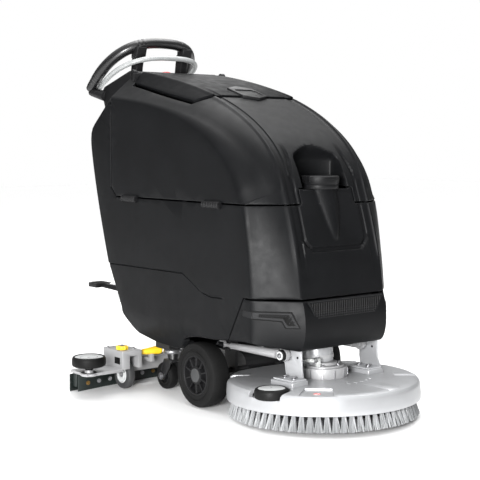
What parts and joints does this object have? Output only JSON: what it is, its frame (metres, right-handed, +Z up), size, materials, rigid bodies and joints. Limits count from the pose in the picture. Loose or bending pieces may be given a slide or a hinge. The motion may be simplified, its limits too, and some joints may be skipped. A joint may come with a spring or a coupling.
{
  "type": "floor scrubber machine",
  "caption": "Walk-behind floor scrubber dryer with one disc brush in front, two stacked tanks, a loop handle, driven wheels, casters and a curved rear squeegee.",
  "frame": {"origin": "on the floor, under the middle of the overall box", "axes": "+X is the travel direction, +Y is the machine's left, +Z is up"},
  "size_m": [1.2522, 0.898, 1.0784],
  "materials": {
    "anthracite": "matte moulded",
    "black_plastic": "satin",
    "grip_foam": "soft matte",
    "lever_grey": "satin",
    "deck_silver": "powder coated",
    "cast_silver": "as cast",
    "steel": "satin",
    "black_steel": "powder coated",
    "tyre": "matte",
    "black_rubber": "matte",
    "grey_rubber": "matte",
    "yellow_plastic": "gloss",
    "red_plastic": "gloss",
    "bristle": "matte",
    "blade_rubber": "satin",
    "clear_plastic": "clear",
    "battery_case": "matte"
  },
  "bodies": {
    "chassis": {"chassis_frame": "black_steel", "solution_tank": "anthracite", "front_bumper": "anthracite", "front_grille": "black_plastic", "dashboard": "black_plastic", "display_panel": "black_plastic", "handlebar": "grip_foam", "handle_strut_right": "black_plastic", "handle_strut_left": "black_plastic", "transaxle": "black_steel", "battery_tray": "black_steel", "battery_front": "battery_case", "battery_rear": "battery_case", "tank_hinge_front": "black_plastic", "tank_hinge_rear": "black_plastic", "pedal_bracket": "clear_plastic"},
    "recovery_tank": {"recovery_tank": "anthracite", "vacuum_motor": "black_plastic", "lid_hinge_right": "black_plastic", "lid_hinge_left": "black_plastic"},
    "tank_lid": {"tank_lid": "anthracite"},
    "fill_cap": {"fill_cap": "black_plastic"},
    "deadman_lever": {"deadman_lever": "lever_grey"},
    "emergency_stop": {"emergency_stop": "red_plastic"},
    "start_button": {"start_button": "lever_grey"},
    "program_button": {"program_button": "lever_grey"},
    "key_switch": {"key_switch": "steel"},
    "swing_bracket": {"swing_bracket": "cast_silver"},
    "squeegee": {"squeegee_arm": "cast_silver", "squeegee_beam": "cast_silver", "squeegee_holder": "blade_rubber", "blade_rear": "blade_rubber", "blade_front": "blade_rubber"},
    "lift_pedal": {"lift_pedal": "black_plastic"},
    "deck_arms": {"deck_arm_right": "cast_silver", "deck_arm_left": "cast_silver"},
    "deck": {"deck_cover": "deck_silver", "deck_bracket_right": "deck_silver", "deck_bracket_left": "deck_silver", "gearmotor": "cast_silver", "water_fitting": "clear_plastic"},
    "deck_roller": {"deck_roller": "black_rubber"},
    "brush": {"brush_disc": "black_plastic", "brush_bristles": "bristle"},
    "main_wheel_right": {"main_tyre_right": "tyre", "main_rim_right": "black_plastic"},
    "caster_fork_right": {"caster_fork_right": "black_steel"},
    "caster_wheel_right": {"caster_wheel_right": "grey_rubber"},
    "squeegee_wheel_right": {"squeegee_wheel_right": "grey_rubber"},
    "bumper_roller_right": {"bumper_roller_right": "black_rubber"},
    "height_knob_right": {"height_knob_right": "yellow_plastic"},
    "squeegee_knob_right": {"squeegee_knob_right": "yellow_plastic"},
    "main_wheel_left": {"main_tyre_left": "tyre", "main_rim_left": "black_plastic"},
    "caster_fork_left": {"caster_fork_left": "black_steel"},
    "caster_wheel_left": {"caster_wheel_left": "grey_rubber"},
    "squeegee_wheel_left": {"squeegee_wheel_left": "grey_rubber"},
    "bumper_roller_left": {"bumper_roller_left": "black_rubber"},
    "height_knob_left": {"height_knob_left": "yellow_plastic"},
    "squeegee_knob_left": {"squeegee_knob_left": "yellow_plastic"}
  },
  "joints": [
    {"name": "tank_tilt", "type": "hinge", "parent": "chassis", "child": "recovery_tank", "pos_m": [-0.02845, -0.246, 0.577], "axis": [1, 0, 0], "range_deg": [0, 80]},
    {"name": "lid_open", "type": "hinge", "parent": "recovery_tank", "child": "tank_lid", "pos_m": [-0.32445, 0, 0.95], "axis": [0, -1, 0], "range_deg": [0, 80]},
    {"name": "fill_cap_turn", "type": "hinge", "parent": "chassis", "child": "fill_cap", "pos_m": [0.34055, 0, 0.64], "axis": [0, 0, 1], "range_deg": [0, 90]},
    {"name": "lever_squeeze", "type": "hinge", "parent": "chassis", "child": "deadman_lever", "pos_m": [-0.61145, 0, 0.909], "axis": [0, -1, 0], "range_deg": [0, 4], "stiffness_Nm_per_rad": 5, "springref_deg": -11.46},
    {"name": "emergency_stop_press", "type": "slide", "parent": "chassis", "child": "emergency_stop", "axis": [0.2788, 0, -0.9603], "range_m": [0, 0.0025]},
    {"name": "start_button_press", "type": "slide", "parent": "chassis", "child": "start_button", "axis": [0.2788, 0, -0.9603], "range_m": [0, 0.002], "stiffness_N_per_m": 200, "springref_m": -0.001},
    {"name": "program_button_press", "type": "slide", "parent": "chassis", "child": "program_button", "axis": [0.2788, 0, -0.9603], "range_m": [0, 0.002], "stiffness_N_per_m": 200, "springref_m": -0.001},
    {"name": "key_turn", "type": "hinge", "parent": "chassis", "child": "key_switch", "pos_m": [-0.47158, 0.04, 0.93448], "axis": [-0.2788, 0, 0.9603], "range_deg": [0, 90]},
    {"name": "squeegee_swing", "type": "hinge", "parent": "chassis", "child": "swing_bracket", "pos_m": [-0.03945, 0, 0.125], "axis": [0, 0, 1], "range_deg": [-15, 15]},
    {"name": "squeegee_lift", "type": "hinge", "parent": "swing_bracket", "child": "squeegee", "pos_m": [-0.07945, 0, 0.125], "axis": [0, 1, 0], "range_deg": [0, 10]},
    {"name": "pedal_lift", "type": "hinge", "parent": "chassis", "child": "lift_pedal", "pos_m": [-0.35545, -0.18, 0.284], "axis": [0, 1, 0], "range_deg": [0, 40]},
    {"name": "deck_lift", "type": "hinge", "parent": "chassis", "child": "deck_arms", "pos_m": [0.08655, 0, 0.17], "axis": [0, -1, 0], "range_deg": [0, 9]},
    {"name": "deck_level", "type": "hinge", "parent": "deck_arms", "child": "deck", "pos_m": [0.36055, 0, 0.18], "axis": [0, -1, 0], "range_deg": [-9, 0]},
    {"name": "brush_spin", "type": "hinge", "parent": "deck", "child": "brush", "pos_m": [0.35933, 0, 0.05639], "axis": [-0.0244, 0, 0.9997], "continuous": true},
    {"name": "deck_roller_spin", "type": "hinge", "parent": "deck", "child": "deck_roller", "pos_m": [0.41429, -0.23, 0.09974], "axis": [-0.0244, 0, 0.9997], "continuous": true},
    {"name": "main_wheel_right_spin", "type": "hinge", "parent": "chassis", "child": "main_wheel_right", "pos_m": [0.08855, -0.211, 0.0927], "axis": [0, 1, 0], "continuous": true},
    {"name": "caster_right_swivel", "type": "hinge", "parent": "chassis", "child": "caster_fork_right", "pos_m": [-0.13945, -0.156, 0.11], "axis": [0, 0, 1], "continuous": true},
    {"name": "caster_wheel_right_spin", "type": "hinge", "parent": "caster_fork_right", "child": "caster_wheel_right", "pos_m": [-0.16945, -0.156, 0.041], "axis": [0, 1, 0], "continuous": true},
    {"name": "squeegee_wheel_right_spin", "type": "hinge", "parent": "squeegee", "child": "squeegee_wheel_right", "pos_m": [-0.25245, -0.258, 0.045], "axis": [0, 1, 0], "continuous": true},
    {"name": "bumper_roller_right_spin", "type": "hinge", "parent": "squeegee", "child": "bumper_roller_right", "pos_m": [-0.22245, -0.399, 0.105], "axis": [0, 0, 1], "continuous": true},
    {"name": "height_knob_right_turn", "type": "hinge", "parent": "squeegee", "child": "height_knob_right", "pos_m": [-0.22945, -0.28, 0.131], "axis": [0, 0, 1], "continuous": true},
    {"name": "squeegee_knob_right_turn", "type": "hinge", "parent": "squeegee", "child": "squeegee_knob_right", "pos_m": [-0.26545, -0.05, 0.131], "axis": [0, 0, 1], "continuous": true},
    {"name": "main_wheel_left_spin", "type": "hinge", "parent": "chassis", "child": "main_wheel_left", "pos_m": [0.08855, 0.211, 0.0927], "axis": [0, 1, 0], "continuous": true},
    {"name": "caster_left_swivel", "type": "hinge", "parent": "chassis", "child": "caster_fork_left", "pos_m": [-0.13945, 0.156, 0.11], "axis": [0, 0, 1], "continuous": true},
    {"name": "caster_wheel_left_spin", "type": "hinge", "parent": "caster_fork_left", "child": "caster_wheel_left", "pos_m": [-0.16945, 0.156, 0.041], "axis": [0, 1, 0], "continuous": true},
    {"name": "squeegee_wheel_left_spin", "type": "hinge", "parent": "squeegee", "child": "squeegee_wheel_left", "pos_m": [-0.25245, 0.258, 0.045], "axis": [0, 1, 0], "continuous": true},
    {"name": "bumper_roller_left_spin", "type": "hinge", "parent": "squeegee", "child": "bumper_roller_left", "pos_m": [-0.22245, 0.399, 0.105], "axis": [0, 0, 1], "continuous": true},
    {"name": "height_knob_left_turn", "type": "hinge", "parent": "squeegee", "child": "height_knob_left", "pos_m": [-0.22945, 0.28, 0.131], "axis": [0, 0, 1], "continuous": true},
    {"name": "squeegee_knob_left_turn", "type": "hinge", "parent": "squeegee", "child": "squeegee_knob_left", "pos_m": [-0.26545, 0.05, 0.131], "axis": [0, 0, 1], "continuous": true}
  ],
  "couplings": [
    {"joint": "pedal_lift", "follows": "squeegee_lift", "ratio": 4},
    {"joint": "deck_level", "follows": "deck_lift", "ratio": -1}
  ]
}
